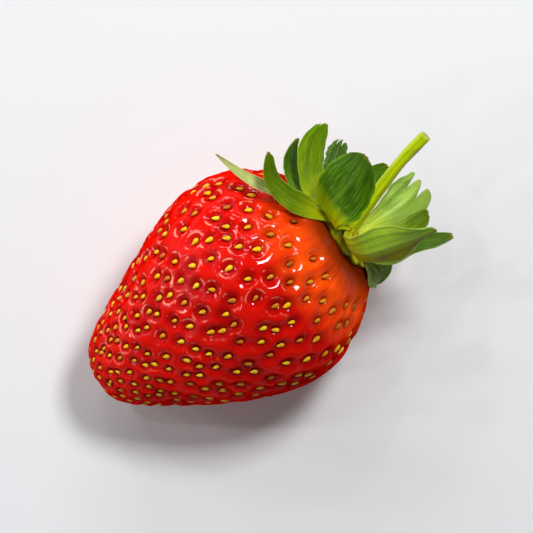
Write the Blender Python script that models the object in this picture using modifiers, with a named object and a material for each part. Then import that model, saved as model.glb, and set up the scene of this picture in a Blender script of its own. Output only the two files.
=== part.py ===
"""A fresh strawberry with its leafy calyx and a short cut stalk, lying on its side.

Metres, +Z up. The origin is the middle of the small flat spot that the berry lies on, and +X
runs from the tip towards the stalk. Every piece is modelled in the berry's own frame, whose X
axis is the berry's axis and whose origin is the calyx seat. One empty tilts them all to rest.
"""

import math

import bmesh
import bpy
import numpy as np
from mathutils import Matrix, Vector

MM = 0.001

BERRY_LENGTH = 41.0 * MM  # tip to calyx seat
BERRY_WIDTH = 32.6 * MM  # widest diameter
BERRY_STEPS = 48
BERRY_RINGS = 34
REST_TILT = math.radians(15.0)  # the tip hangs lower than the calyx
FLAT_SPOT_DEPTH = 0.3 * MM
PIECE_GAP = 0.3 * MM

# The berry's outline: share of its length from the tip, share of its half width.
BERRY_OUTLINE = (
    (0.000, 0.000),
    (0.016, 0.225),
    (0.086, 0.400),
    (0.188, 0.548),
    (0.305, 0.698),
    (0.447, 0.865),
    (0.571, 0.965),
    (0.685, 1.000),
    (0.792, 0.950),
    (0.888, 0.812),
    (0.965, 0.640),
    (1.012, 0.480),
    (1.020, 0.340),
    (1.006, 0.200),
    (1.000, 0.000),
)
# The cross-section isn't round: waves round the axis, as (count, share of the radius, crest angle).
BERRY_WAVES = ((2, 0.016, 20.0), (3, 0.012, 75.0), (5, 0.005, 10.0))
SHOULDER_SHIFT = 0.5 * MM  # the wide end leans towards +Y

CALYX_BASE_RADIUS = 3.2 * MM
CALYX_BASE_TOP = 2.4 * MM
LEAF_START = CALYX_BASE_RADIUS + PIECE_GAP
LEAF_THICKNESS = 0.4 * MM
LEAF_ROOT_WIDTH = 0.9 * MM
LEAF_CELLS_ALONG = 10
LEAF_CELLS_ACROSS = 4
SEPAL_HEIGHT = 2.3 * MM  # of the upper whorl's roots over the seat
BRACT_HEIGHT = 1.4 * MM  # of the lower whorl's roots

STALK_LENGTH = 17.5 * MM
STALK_RADIUS = 0.80 * MM
STALK_FOOT_RADIUS = 1.15 * MM

# Each leaf, with lengths in mm and angles in degrees: the angle round the berry's axis from +Y
# towards +Z at the root, and how far the leaf's heading swings from there; its length and width;
# its lean away from the stalk's direction at the root, half way and at the tip; its cupping as a
# share of its half width; its roll about its midrib; where it is widest, as a share of its length;
# how slender it is below that; its tip's width as a share of the full width; and how light its
# green is, from 0 to 1.
SEPALS = {
    "sepal_1": (76, -65, 17.1, 7.7, 100, 22, 35, 0.13, 51, 0.63, 2.5, 0.30, 0.05),
    "sepal_2": (48, -14, 18.2, 2.7, 80, 131, 43, 0.10, -58, 0.57, 3.0, 0.10, 0.25),
    "sepal_3": (15, 1, 14.2, 6.0, 82, 82, 16, 0.03, -42, 0.42, 2.0, 0.50, 0.35),
    "sepal_4": (-27, -5, 11.2, 4.1, 105, 59, 43, 0.35, -32, 0.52, 1.6, 0.45, 0.15),
    "sepal_5": (-100, 37, 13.8, 6.0, 62, 26, 68, 0.40, -6, 0.66, 4.0, 0.84, 0.75),
    "sepal_6": (-137, 14, 11.5, 3.8, 49, -1, -21, 0.13, 6, 0.49, 1.5, 0.40, 0.35),
    "sepal_7": (108, 52, 19.0, 7.6, 92, 16, 13, 0.10, -4, 0.50, 1.8, 0.40, 0.65),
}
BRACTS = {
    "bract_1": (43, -23, 21.5, 1.0, 81, 138, 92, 0.05, -44, 0.46, 1.0, 0.08, 1.00),
    "bract_2": (9, 14, 13.4, 6.5, 81, 114, 25, 0.11, -16, 0.52, 2.1, 0.25, 0.20),
    "bract_3": (-65, 6, 12.7, 4.0, 85, 51, -8, 0.20, 6, 0.36, 1.6, 0.30, 0.25),
    "bract_4": (204, 12, 7.5, 5.0, 81, 77, 163, 0.42, 37, 0.40, 2.7, 0.16, 0.60),
    "bract_5": (172, 80, 14.5, 4.0, 54, 6, 22, 0.03, -14, 0.47, 1.6, 0.30, 0.10),
}

# Each finish is a colour and a roughness.
BERRY_FINISH = ((0.58, 0.012, 0.008), 0.28)
BASE_FINISH = ((0.26, 0.24, 0.03), 0.55)
STALK_FINISH = ((0.30, 0.38, 0.02), 0.45)
DARK_LEAF, LIGHT_LEAF = np.array((0.045, 0.105, 0.004)), np.array((0.40, 0.46, 0.10))
LEAF_ROUGHNESS = 0.5


def clear_scene():
    for obj in list(bpy.data.objects):
        bpy.data.objects.remove(obj, do_unlink=True)


def new_collection(name):
    collection = bpy.data.collections.new(name)
    bpy.context.scene.collection.children.link(collection)
    return collection


def finish(name, colour, roughness):
    material = bpy.data.materials.new(name)
    material.use_nodes = True
    shader = material.node_tree.nodes["Principled BSDF"]
    shader.inputs["Base Color"].default_value = (*colour, 1.0)
    shader.inputs["Roughness"].default_value = roughness
    shader.inputs["Metallic"].default_value = 0.0
    return material


def smooth_line(points, count):
    """Evenly numbered points on a Catmull-Rom curve through the given ones."""
    known = np.array(points, float)
    known = np.vstack([2 * known[0] - known[1], known, 2 * known[-1] - known[-2]])
    place = np.linspace(0.0, len(points) - 1.0, count)
    start = np.minimum(place.astype(int), len(points) - 2)
    t = (place - start)[:, None]
    before, a, b, after = (known[start + k] for k in range(4))
    slope_a, slope_b = (b - before) / 2, (after - a) / 2
    return (
        a * (1 + 2 * t) * (1 - t) ** 2
        + slope_a * t * (1 - t) ** 2
        + b * t * t * (3 - 2 * t)
        + slope_b * t * t * (t - 1)
    )


def smooth_step(value, low, high):
    share = np.clip((value - low) / (high - low), 0.0, 1.0)
    return share * share * (3 - 2 * share)


def berry_line(count):
    """(distance from the seat along the stalk's direction, radius) from the tip to the seat."""
    # The first outline point's mirror image keeps the tip round.
    line = smooth_line(((0.016, -0.225), *BERRY_OUTLINE), count + 2)
    line = line[line[:, 1] >= -1e-9]
    line[0] = BERRY_OUTLINE[0]
    line[-1, 1] = 0.0
    return np.column_stack([(line[:, 0] - 1.0) * BERRY_LENGTH, line[:, 1] * BERRY_WIDTH / 2])


def grown(points):
    """The turned berry's points, moved so that it is as uneven as a grown one."""
    x, y, z = points.T
    along = 1.0 + x / BERRY_LENGTH
    angle = np.arctan2(z, y)
    uneven = smooth_step(along, 0.0, 0.4) * (1 - smooth_step(along, 0.9, 1.02))
    swell = 1.0 + uneven * sum(
        share * np.cos(count * (angle - math.radians(crest))) for count, share, crest in BERRY_WAVES
    )
    lean = SHOULDER_SHIFT * smooth_step(along, 0.25, 0.65) * (1 - smooth_step(along, 0.85, 1.0))
    return np.column_stack([x, y * swell + lean, z * swell])


def turned_mesh(name, line, steps):
    """A closed mesh turned about X. The line holds (place along X, radius), from low X to high X."""
    profile = bpy.data.meshes.new(name + "_profile")
    # The Screw turns about Z and wants the top first, so the line runs backwards along Z.
    corners = [(radius, 0.0, place) for place, radius in line[::-1]]
    profile.from_pydata(corners, [(i, i + 1) for i in range(len(corners) - 1)], [])
    turning = bpy.data.objects.new(name + "_profile", profile)
    bpy.context.scene.collection.objects.link(turning)
    screw = turning.modifiers.new("turn", "SCREW")
    screw.axis = "Z"
    screw.steps = screw.render_steps = steps
    screw.use_merge_vertices = True
    screw.merge_threshold = 1e-6
    graph = bpy.context.evaluated_depsgraph_get()
    mesh = bpy.data.meshes.new_from_object(turning.evaluated_get(graph))
    mesh.name = name
    bpy.data.objects.remove(turning, do_unlink=True)
    work = bmesh.new()
    work.from_mesh(mesh)
    bmesh.ops.remove_doubles(work, verts=work.verts, dist=1e-6)
    bmesh.ops.recalc_face_normals(work, faces=work.faces)
    work.to_mesh(mesh)
    work.free()
    mesh.transform(Matrix.Rotation(math.pi / 2, 4, "Y"))
    return mesh


def add_piece(mesh, material, collection, rest):
    mesh.materials.clear()
    mesh.materials.append(material)
    mesh.shade_smooth()
    piece = bpy.data.objects.new(mesh.name, mesh)
    collection.objects.link(piece)
    piece.parent = rest
    return piece


def rest_pose(collection):
    """An empty that tilts the berry's frame and puts its lowest point at the origin."""
    line = berry_line(400)
    angles = np.radians(np.arange(0.0, 360.0, 0.5))
    ring = np.column_stack([np.ones_like(angles), np.cos(angles), np.sin(angles)])
    skin = grown((ring[None] * line[:, [0, 1, 1]][:, None]).reshape(-1, 3))
    tilt = Matrix.Rotation(-REST_TILT, 3, "Y")
    tilted = skin @ np.array(tilt).T
    lowest = tilted[tilted[:, 2].argmin()]
    rest = bpy.data.objects.new("rest_pose", None)
    collection.objects.link(rest)
    rest.rotation_euler = tilt.to_euler()
    rest.location = -Vector(lowest) - Vector((0.0, 0.0, FLAT_SPOT_DEPTH))
    return rest


def make_berry(collection, helpers, rest, material):
    mesh = turned_mesh("berry", berry_line(BERRY_RINGS), BERRY_STEPS)
    points = np.empty(len(mesh.vertices) * 3)
    mesh.vertices.foreach_get("co", points)
    mesh.vertices.foreach_set("co", grown(points.reshape(-1, 3)).ravel())
    berry = add_piece(mesh, material, collection, rest)
    slab_depth = 10 * MM
    bpy.ops.mesh.primitive_cube_add(size=1.0, location=(0.0, 0.0, -slab_depth / 2))
    slab = bpy.context.object
    slab.name = "flat_spot_cutter"
    slab.scale = (2 * BERRY_LENGTH, 2 * BERRY_WIDTH, slab_depth)
    slab.hide_render = True
    slab.display_type = "WIRE"
    for owner in list(slab.users_collection):
        owner.objects.unlink(slab)
    helpers.objects.link(slab)
    cut = berry.modifiers.new("flat_spot", "BOOLEAN")
    cut.operation = "DIFFERENCE"
    cut.object = slab


def make_calyx_base(collection, rest, material):
    """The low button that the leaves and the stalk grow from."""
    foot = 1.5 * PIECE_GAP
    line = (
        (foot, 0.0),
        (foot, 0.70 * CALYX_BASE_RADIUS),
        (foot + 0.45 * MM, 0.94 * CALYX_BASE_RADIUS),
        (foot + 0.95 * MM, CALYX_BASE_RADIUS),
        (foot + 1.50 * MM, 0.90 * CALYX_BASE_RADIUS),
        (CALYX_BASE_TOP - 0.10 * MM, 0.60 * CALYX_BASE_RADIUS),
        (CALYX_BASE_TOP, 0.0),
    )
    add_piece(turned_mesh("calyx_base", line, 24), material, collection, rest)


def leaf_half_width(along, width, widest, slender, tip_share):
    """Half the width at a share of the length: a drop shape with a narrow root."""
    root, tip = LEAF_ROOT_WIDTH / 2, tip_share * width / 2
    rising = np.sin(np.pi / 2 * np.clip(along / widest, 0, 1)) ** slender
    ending = np.clip((along - widest) / (1 - widest), 0, 1)
    growing = root + (width / 2 - root) * rising
    closing = tip + (width / 2 - tip) * (1 - ending**2.2) ** 0.9
    return np.where(along < widest, growing, closing)


def leaf_points(leaf, height, along, across):
    """Points of a leaf's middle surface. Along runs 0 to 1 from the root, across -1 to 1."""
    azimuth, swing, length, width, root_lean, mid_lean, tip_lean, cupping, roll, *outline, _ = leaf
    steps = np.linspace(0.0, 1.0, 201)
    lean = root_lean + (mid_lean - root_lean) * smooth_step(steps, 0.0, 0.55)
    lean = np.radians(lean + (tip_lean - mid_lean) * smooth_step(steps, 0.45, 1.0))
    facing = np.radians(azimuth + swing * steps)
    # The midrib's direction, the way across the leaf and the way that its upper face looks.
    ahead = np.column_stack([np.cos(lean), np.sin(lean) * np.cos(facing), np.sin(lean) * np.sin(facing)])
    aside = np.column_stack([np.zeros_like(lean), -np.sin(facing), np.cos(facing)])
    above = np.cross(ahead, aside)
    rolled = np.radians(roll) * smooth_step(steps, 0.05, 0.6)[:, None]
    aside, above = (
        aside * np.cos(rolled) + above * np.sin(rolled),
        above * np.cos(rolled) - aside * np.sin(rolled),
    )
    midrib = np.zeros_like(ahead)
    midrib[1:] = np.cumsum((ahead[1:] + ahead[:-1]) / 2, axis=0) * length * MM / (len(steps) - 1)
    start = math.radians(azimuth)
    midrib += (height, LEAF_START * math.cos(start), LEAF_START * math.sin(start))
    here, sideways, upwards = (
        np.column_stack([np.interp(along, steps, line[:, k]) for k in range(3)])
        for line in (midrib, aside, above)
    )
    half = leaf_half_width(along, width * MM, *outline)
    curl = cupping * half * across**2 * smooth_step(along, 0.0, 0.35)
    return here + sideways * (across * half)[:, None] + upwards * curl[:, None]


def make_leaf(name, leaf, height, collection, rest):
    mesh = bpy.data.meshes.new(name)
    work = bmesh.new()
    bmesh.ops.create_grid(
        work, x_segments=LEAF_CELLS_ALONG, y_segments=LEAF_CELLS_ACROSS, size=1.0
    )
    flat = np.array([vertex.co for vertex in work.verts])
    shaped = leaf_points(leaf, height, (flat[:, 0] + 1) / 2, flat[:, 1])
    for vertex, point in zip(work.verts, shaped):
        vertex.co = point
    work.to_mesh(mesh)
    work.free()
    green = DARK_LEAF + (LIGHT_LEAF - DARK_LEAF) * leaf[-1]
    blade = add_piece(mesh, finish(name + "_green", green, LEAF_ROUGHNESS), collection, rest)
    thicken = blade.modifiers.new("thickness", "SOLIDIFY")
    thicken.thickness = LEAF_THICKNESS
    thicken.offset = 0.0


def make_stalk(collection, rest, material):
    foot = CALYX_BASE_TOP + 2.5 * PIECE_GAP
    route = smooth_line(
        (
            (foot, 0.0, 0.0),
            (foot + 0.31 * STALK_LENGTH, 0.14 * STALK_LENGTH, 0.02 * STALK_LENGTH),
            (foot + 0.63 * STALK_LENGTH, 0.26 * STALK_LENGTH, 0.05 * STALK_LENGTH),
            (foot + 0.94 * STALK_LENGTH, 0.34 * STALK_LENGTH, 0.09 * STALK_LENGTH),
        ),
        12,
    )
    curve = bpy.data.curves.new("stalk", "CURVE")
    curve.dimensions = "3D"
    curve.bevel_depth = STALK_RADIUS
    curve.bevel_resolution = 3
    curve.use_fill_caps = True
    spline = curve.splines.new("POLY")
    spline.points.add(len(route) - 1)
    for i, (point, place) in enumerate(zip(spline.points, route)):
        share = i / (len(route) - 1)
        flare = (STALK_FOOT_RADIUS / STALK_RADIUS - 1) * (1 - share) ** 6
        point.co = (*place, 1.0)
        point.radius = 1.0 + flare
    curve.materials.append(material)
    stalk = bpy.data.objects.new("stalk", curve)
    collection.objects.link(stalk)
    stalk.parent = rest


def main():
    clear_scene()
    strawberry = new_collection("strawberry")
    helpers = new_collection("cutters")
    rest = rest_pose(strawberry)
    make_berry(strawberry, helpers, rest, finish("berry_skin", *BERRY_FINISH))
    make_calyx_base(strawberry, rest, finish("calyx_base", *BASE_FINISH))
    make_stalk(strawberry, rest, finish("stalk", *STALK_FINISH))
    for name, leaf in SEPALS.items():
        make_leaf(name, leaf, SEPAL_HEIGHT, strawberry, rest)
    for name, leaf in BRACTS.items():
        make_leaf(name, leaf, BRACT_HEIGHT, strawberry, rest)


main()
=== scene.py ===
# A ripe strawberry lying on its side, with its calyx leaves and a short cut stalk.
# Run inside Blender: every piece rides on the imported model's one body, and every piece but the
# seeds replaces a node of it.

import math

import bpy
import numpy as np
from mathutils import Matrix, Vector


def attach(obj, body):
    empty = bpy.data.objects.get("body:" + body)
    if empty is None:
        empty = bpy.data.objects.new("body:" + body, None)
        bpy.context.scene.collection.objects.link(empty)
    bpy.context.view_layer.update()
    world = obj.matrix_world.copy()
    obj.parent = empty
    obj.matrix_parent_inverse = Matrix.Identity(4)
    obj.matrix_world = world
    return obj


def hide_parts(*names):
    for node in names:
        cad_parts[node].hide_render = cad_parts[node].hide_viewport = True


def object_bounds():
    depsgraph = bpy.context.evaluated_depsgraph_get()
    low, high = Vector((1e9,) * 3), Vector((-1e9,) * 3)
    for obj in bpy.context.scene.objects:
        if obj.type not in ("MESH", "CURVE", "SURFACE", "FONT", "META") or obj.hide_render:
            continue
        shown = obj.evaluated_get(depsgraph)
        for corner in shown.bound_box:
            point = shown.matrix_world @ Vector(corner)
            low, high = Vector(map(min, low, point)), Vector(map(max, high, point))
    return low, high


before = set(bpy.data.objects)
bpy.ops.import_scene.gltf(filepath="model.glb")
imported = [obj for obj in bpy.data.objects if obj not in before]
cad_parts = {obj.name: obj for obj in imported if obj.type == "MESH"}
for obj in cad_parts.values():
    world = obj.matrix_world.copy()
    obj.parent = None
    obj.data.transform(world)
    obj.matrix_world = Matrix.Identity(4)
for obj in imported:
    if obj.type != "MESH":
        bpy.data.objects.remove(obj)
cadBox = [list(corner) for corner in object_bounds()]
mm = 0.001
print("packed model loaded,", len(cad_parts), "nodes")


# Small tools: curves, grids and meshes.


def smoothStep(value, low, high):  # 0 below low, 1 above high, and an S between them
    share = np.clip((value - low) / (high - low), 0.0, 1.0)
    return share * share * (3.0 - 2.0 * share)


def unit(vectors):
    return vectors / np.maximum(np.linalg.norm(vectors, axis=-1, keepdims=True), 1e-12)


def smoothLine(points, count):
    # Catmull-Rom: between two known points, a cubic whose slope at each is half the gap across it
    known = np.array(points, float)
    known = np.vstack([2 * known[0] - known[1], known, 2 * known[-1] - known[-2]])
    place = np.linspace(0.0, len(points) - 1.0, count)
    start = np.minimum(place.astype(int), len(points) - 2)
    t = (place - start)[:, None]
    before, a, b, after = (known[start + k] for k in range(4))
    slopeA, slopeB = (b - before) / 2, (after - a) / 2
    return (
        a * (1 + 2 * t) * (1 - t) ** 2
        + slopeA * t * (1 - t) ** 2
        + b * t * t * (3 - 2 * t)
        + slopeB * t * t * (t - 1)
    )


def lineLength(points):  # the length along the line up to each of its points
    steps = np.linalg.norm(np.diff(points, axis=0), axis=1)
    return np.concatenate([[0.0], np.cumsum(steps)])


def readLine(place, known, line):  # the line's values at the given places
    return np.stack([np.interp(place, known, line[:, k]) for k in range(line.shape[1])], axis=-1)


def ringFaces(rows, columns):  # quads of a grid whose last column joins its first
    row, column = np.meshgrid(np.arange(rows - 1), np.arange(columns), indexing="ij")
    beside = (column + 1) % columns
    corners = (row * columns + column, (row + 1) * columns + column)
    corners += ((row + 1) * columns + beside, row * columns + beside)
    return np.stack(corners, axis=-1).reshape(-1, 4)


def fanFaces(pole, ring, forward):  # triangles from one point to a ring of points
    beside = np.roll(ring, -1)
    order = (ring, beside) if forward else (beside, ring)
    return np.column_stack([np.full(len(ring), pole), *order])


def tubeFaces(rows, columns):  # a grid of rings, and a fan from each end's ring to its pole
    first = np.arange(columns)
    last = (rows - 1) * columns + first
    poles = rows * columns
    return [
        ringFaces(rows, columns),
        fanFaces(poles, first, True),
        fanFaces(poles + 1, last, False),
    ]


def closedTube(rings):
    # rings is (rows, columns, 3), and its first and last rows are single points: the poles
    rows, columns = rings.shape[0] - 2, rings.shape[1]
    points = np.vstack([rings[1:-1].reshape(-1, 3), rings[0, 0], rings[-1, 0]])
    return points, tubeFaces(rows, columns)


def tubeValues(values):  # a value for each grid point, in closedTube's order of points
    return np.concatenate([values[1:-1].ravel(), [values[0, 0], values[-1, 0]]])


def turnedOutward(points, faces):
    # the tetrahedra from the origin to the faces add up to the volume, below 0 when inside out
    volume = 0.0
    for part in faces:
        corner = points[part]
        for k in range(1, part.shape[1] - 1):
            sides = np.cross(corner[:, k], corner[:, k + 1])
            volume += np.einsum("ij,ij->", corner[:, 0], sides)
    return faces if volume > 0 else [part[:, ::-1] for part in faces]


def newPiece(name, points, faces, material, values=None):
    mesh = bpy.data.meshes.new(name)
    faces = turnedOutward(points, faces)
    loops = np.concatenate([part.ravel() for part in faces]).astype(np.int32)
    sizes = np.concatenate([np.full(len(part), part.shape[1]) for part in faces]).astype(np.int32)
    mesh.vertices.add(len(points))
    mesh.vertices.foreach_set("co", points.astype(np.float32).ravel())
    mesh.loops.add(len(loops))
    mesh.loops.foreach_set("vertex_index", loops)
    mesh.polygons.add(len(sizes))
    starts = np.concatenate([[0], np.cumsum(sizes)[:-1]]).astype(np.int32)
    mesh.polygons.foreach_set("loop_start", starts)
    mesh.polygons.foreach_set("use_smooth", np.full(len(sizes), True))
    mesh.update(calc_edges=True)
    mesh.validate()
    mesh.materials.append(material)
    for key, value in (values or {}).items():
        layer = mesh.attributes.new(key, "FLOAT", "POINT")
        layer.data.foreach_set("value", value.astype(np.float32).ravel())
    piece = bpy.data.objects.new(name, mesh)
    bpy.context.scene.collection.objects.link(piece)
    return piece


def addNode(tree, kind, inputs=None, **settings):
    # inputs maps a socket's name or number to a number, a colour or another node's output
    node = tree.nodes.new(kind)
    for key, value in settings.items():
        setattr(node, key, value)
    for key, value in (inputs or {}).items():
        feed(tree, node.inputs[key], value)
    return node


def feed(tree, socket, value):
    if isinstance(value, bpy.types.NodeSocket):
        tree.links.new(value, socket)
    elif socket.type == "RGBA":
        socket.default_value = (*value, 1.0)
    else:
        socket.default_value = value


def newMaterial(name, **fixed):  # fixed numbers go straight onto the shader's own sockets
    material = bpy.data.materials.new(name)
    material.use_nodes = True
    shader = material.node_tree.nodes["Principled BSDF"]
    for key, value in fixed.items():
        shader.inputs[socketNames[key]].default_value = value
    return material, material.node_tree, shader


socketNames = {
    "roughness": "Roughness",
    "specular": "Specular IOR Level",
    "under": "Subsurface Weight",
    "underRadius": "Subsurface Radius",
    "underScale": "Subsurface Scale",
    "coat": "Coat Weight",
    "coatRoughness": "Coat Roughness",
}


def attributeNode(tree, name):
    return addNode(tree, "ShaderNodeAttribute", attribute_name=name).outputs["Fac"]


def mathNode(tree, operation, a, b=0.0, clamp=False):
    inputs = {0: a, 1: b}
    return addNode(tree, "ShaderNodeMath", inputs, operation=operation, use_clamp=clamp).outputs[0]


def timesNode(tree, a, b):
    return mathNode(tree, "MULTIPLY", a, b)


def plusNode(tree, a, b, clamp=False):
    return mathNode(tree, "ADD", a, b, clamp)


def rangeNode(tree, value, low, high, newLow=0.0, newHigh=1.0):
    ends = {"From Min": low, "From Max": high, "To Min": newLow, "To Max": newHigh}
    return addNode(tree, "ShaderNodeMapRange", {"Value": value, **ends}).outputs["Result"]


def objectPlace(tree, scale=(1.0, 1.0, 1.0)):
    seat = addNode(tree, "ShaderNodeTexCoord").outputs["Object"]
    return addNode(tree, "ShaderNodeMapping", {"Vector": seat, "Scale": scale}).outputs[0]


def noiseNode(tree, vector, scale, detail=2.0, roughness=0.5):
    inputs = {"Vector": vector, "Scale": scale, "Detail": detail, "Roughness": roughness}
    return addNode(tree, "ShaderNodeTexNoise", inputs).outputs["Fac"]


def mixColour(tree, factor, a, b):  # a where the factor is 0, b where it is 1
    return addNode(tree, "ShaderNodeMix", {0: factor, 6: a, 7: b}, data_type="RGBA").outputs[2]


def bumpNode(tree, height, distance, strength=1.0):
    inputs = {"Height": height, "Distance": distance, "Strength": strength}
    return addNode(tree, "ShaderNodeBump", inputs).outputs["Normal"]


# The berry's own frame has its X axis along the berry, towards the stalk, and its origin at the
# calyx seat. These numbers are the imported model's, so that the looks lie on its bodies.

berry = {
    "length": 41.0 * mm,  # tip to calyx seat
    "width": 32.6 * mm,
    "restTilt": math.radians(15.0),  # the tip hangs lower than the calyx
    "flatSpotDepth": 0.3 * mm,
    "shoulderShift": 0.5 * mm,
    "outline": (  # share of the length from the tip, share of the half width
        (0.000, 0.000),
        (0.016, 0.225),
        (0.086, 0.400),
        (0.188, 0.548),
        (0.305, 0.698),
        (0.447, 0.865),
        (0.571, 0.965),
        (0.685, 1.000),
        (0.792, 0.950),
        (0.888, 0.812),
        (0.965, 0.640),
        (1.012, 0.480),
        (1.020, 0.340),
        (1.006, 0.200),
        (1.000, 0.000),
    ),
    "waves": ((2, 0.016, 20.0), (3, 0.012, 75.0), (5, 0.005, 10.0)),  # count, share, crest angle
    "rows": 236,
    "columns": 420,
    "inset": 0.03 * mm,  # of the ridges between the pits under the smooth outline
    "seed": 11,  # of the random numbers
    "ripeDark": (0.48, 0.001, 0.0),  # the skin's red varies between these two
    "ripeLight": (0.70, 0.003, 0.0),
    "tip": (0.66, 0.008, 0.002),
    "ridge": (0.95, 0.010, 0.002),  # painted highlight on the ridges between the bowls round the seeds
    "rimHighlight": (1.0, 0.33, 0.22),  # painted highlight: pale broken arcs on the bowls' rims
    "bowl": (0.22, 0.001, 0.0),  # painted shade at a bowl's bottom
    "shoulder": (1.0, 0.088, 0.002),  # the unripe side under the leaves
    "seat": (0.16, 0.018, 0.002),  # painted shade on the skin round the stalk's end and in the hollow under the calyx
    # painted shade in the steep pits round the seeds
    "pit": (0.16, 0.002, 0.001),
}

seeds = {
    "tipSpacing": 2.02 * mm,
    "bellySpacing": 3.42 * mm,
    "length": 1.26 * mm,
    "width": 0.70 * mm,
    "thickness": 0.56 * mm,
    "sunk": 0.60 * mm,  # of a seed's middle below the skin
    "dimpleDepth": 0.50 * mm,  # of the wide hollow round a seed
    "dimpleReach": (1.48 * mm, 1.32 * mm),  # along the berry and round it
    "pitDepth": 0.42 * mm,  # of the steep pit in its middle
    "pitReach": (1.02 * mm, 0.74 * mm),
    "neighbourhood": 1.6,  # how far a dimple is worked out, in spacings
    "jitter": 0.15,  # as a share of the spacing
    "turn": math.radians(12.0),  # how much the directions vary
    "lean": math.radians(14.0),  # of the mean direction from the berry's length
    "rings": (-0.86, -0.45, 0.10, 0.62),  # places along a seed's half length
    "poles": (-1.08, 1.0),  # of its two ends: the first is the pointed one
    "steps": 7,  # round a seed
    "sizes": (0.82, 1.10),  # the least and the most, as shares of the length and the width
    "deepness": (0.75, 1.20),  # of the pits, likewise
    "tone": (0.42, 0.28),  # mean and spread: 0 is pale and 1 brown
    "barePlace": 0.9,  # past this place along the berry, and within this share of the half width,
    "bareShare": 0.62,  # the skin lies under the calyx and has no seeds
    "gold": (0.95, 0.52, 0.005),
    "orange": (0.62, 0.16, 0.005),
    "pale": (0.93, 0.66, 0.02),
    "brown": (0.22, 0.035, 0.002),
    "speckle": (0.50, 0.22, 0.02),
}


def berryLine(count):
    # (place along the axis, radius) from the tip to the seat, at even steps of length; the
    # outline's first point is mirrored to keep the tip round
    line = smoothLine(((0.016, -0.225), *berry["outline"]), 4000)
    line = line[line[:, 1] >= -1e-9]
    line[0] = berry["outline"][0]
    line[-1, 1] = 0.0
    line = np.column_stack([(line[:, 0] - 1.0) * berry["length"], line[:, 1] * berry["width"] / 2])
    length = lineLength(line)
    return readLine(np.linspace(0.0, length[-1], count), length, line), length[-1]


def growth(x, angle):  # how the section swells at an angle, and how far it leans to one side
    along = 1.0 + x / berry["length"]
    waves = [
        share * np.cos(count * (angle - math.radians(crest)))
        for count, share, crest in berry["waves"]
    ]
    swell = 1.0 + smoothStep(along, 0.0, 0.4) * (1 - smoothStep(along, 0.9, 1.02)) * sum(waves)
    lean = smoothStep(along, 0.25, 0.65) * (1 - smoothStep(along, 0.85, 1.0))
    return swell, lean * berry["shoulderShift"]


def grown(points):
    # the turned berry with waves round its section, and with its wide end leaning to one side
    x, y, z = np.moveaxis(points, -1, 0)
    swell, lean = growth(x, np.arctan2(z, y))
    return np.stack([x, y * swell + lean, z * swell], axis=-1)


def turned(line, angles):  # each (place, radius) carried round the axis to each angle
    place, radius = line[..., 0], line[..., 1]
    return np.stack([place + 0 * angles, radius * np.cos(angles), radius * np.sin(angles)], axis=-1)


def tilted(points):  # turned about Y by the rest tilt, so that the tip goes down
    c, s = math.cos(berry["restTilt"]), math.sin(berry["restTilt"])
    x, y, z = np.moveaxis(points, -1, 0)
    return np.stack([c * x - s * z, y, s * x + c * z], axis=-1)


def lowestPoint():
    line, _ = berryLine(400)
    skin = tilted(grown(turned(line[:, None], np.radians(np.arange(0.0, 360.0, 0.5))[None])))
    skin = skin.reshape(-1, 3)
    return skin[skin[:, 2].argmin()]


restPlace = -lowestPoint() - (0.0, 0.0, berry["flatSpotDepth"])


def atRest(points):  # from the berry's frame to the model's
    return tilted(points) + restPlace


skinLine, skinLength = berryLine(berry["rows"])


def skinPoints(share, angles):  # points of the smooth skin at shares of the outline's length
    line = readLine(share, np.linspace(0.0, 1.0, berry["rows"]), skinLine)
    return atRest(grown(turned(line, angles)))


def skinFrames(share, angles):
    # the skin's point, its way towards the stalk, its way round and its outward normal
    step = 1e-3
    here = skinPoints(share, angles)
    ahead = unit(skinPoints(share + step, angles) - skinPoints(share - step, angles))
    aside = unit(skinPoints(share, angles + step) - skinPoints(share, angles - step))
    outward = unit(np.cross(aside, ahead))
    return here, ahead, np.cross(ahead, outward), outward


def seedSpacing(along):
    spread = smoothStep(along, 0.02, 0.62)
    return seeds["tipSpacing"] + (seeds["bellySpacing"] - seeds["tipSpacing"]) * spread


def placeSeeds(random):
    # each seed turns the golden angle on from the last, and moves on by the length of outline that
    # holds one seed's area, so the rows cross in spirals that widen with the berry
    line, total = berryLine(3000)
    along = 1.0 + line[:, 0] / berry["length"]
    spacing = seedSpacing(along)
    perStep = 2 * np.pi * line[:, 1] / (math.sqrt(3) / 2 * spacing**2) * total / (len(line) - 1)
    count = np.cumsum(perStep)
    share = np.interp(np.arange(int(count[-1])) + 0.5, count, np.linspace(0.0, 1.0, len(line)))
    angle = np.arange(len(share)) * np.pi * (3 - math.sqrt(5))
    x, radius = readLine(share, np.linspace(0.0, 1.0, len(line)), line).T
    along = 1.0 + x / berry["length"]
    spacing = seedSpacing(along)
    drift = random.normal(0.0, seeds["jitter"], (len(share), 2)) * spacing[:, None]
    share = share + drift[:, 0] / total
    angle = angle + drift[:, 1] / np.maximum(radius, 1.0 * mm)
    kept = (along <= seeds["barePlace"]) | (radius >= seeds["bareShare"] * berry["width"] / 2)
    return share[kept], angle[kept], spacing[kept]


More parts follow.
